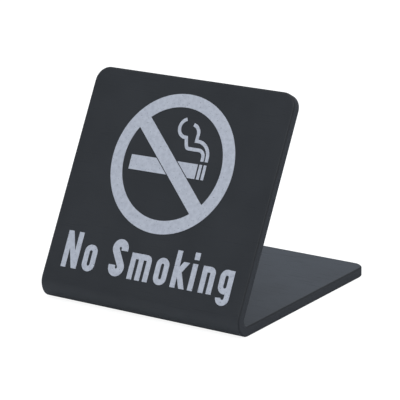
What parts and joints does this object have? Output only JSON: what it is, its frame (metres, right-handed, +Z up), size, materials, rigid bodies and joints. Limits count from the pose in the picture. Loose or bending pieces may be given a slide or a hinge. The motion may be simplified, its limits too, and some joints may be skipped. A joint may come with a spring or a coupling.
{
  "type": "free-standing no smoking sign",
  "caption": "Free-standing table sign: a folded sheet with a leaning front panel and a flat foot, printed with the no smoking symbol.",
  "frame": {"origin": "under the middle of the sign's box, on the surface that the foot rests on", "axes": "+Z up, the printed front panel faces -Y and leans back towards +Y, +X is to the right of someone who reads the sign"},
  "size_m": [0.07, 0.07, 0.0644],
  "materials": {
    "sheet": "satin",
    "ink": "satin"
  },
  "bodies": {
    "root": {"folded_sheet": "sheet", "printed_symbol": "ink"}
  },
  "joints": []
}
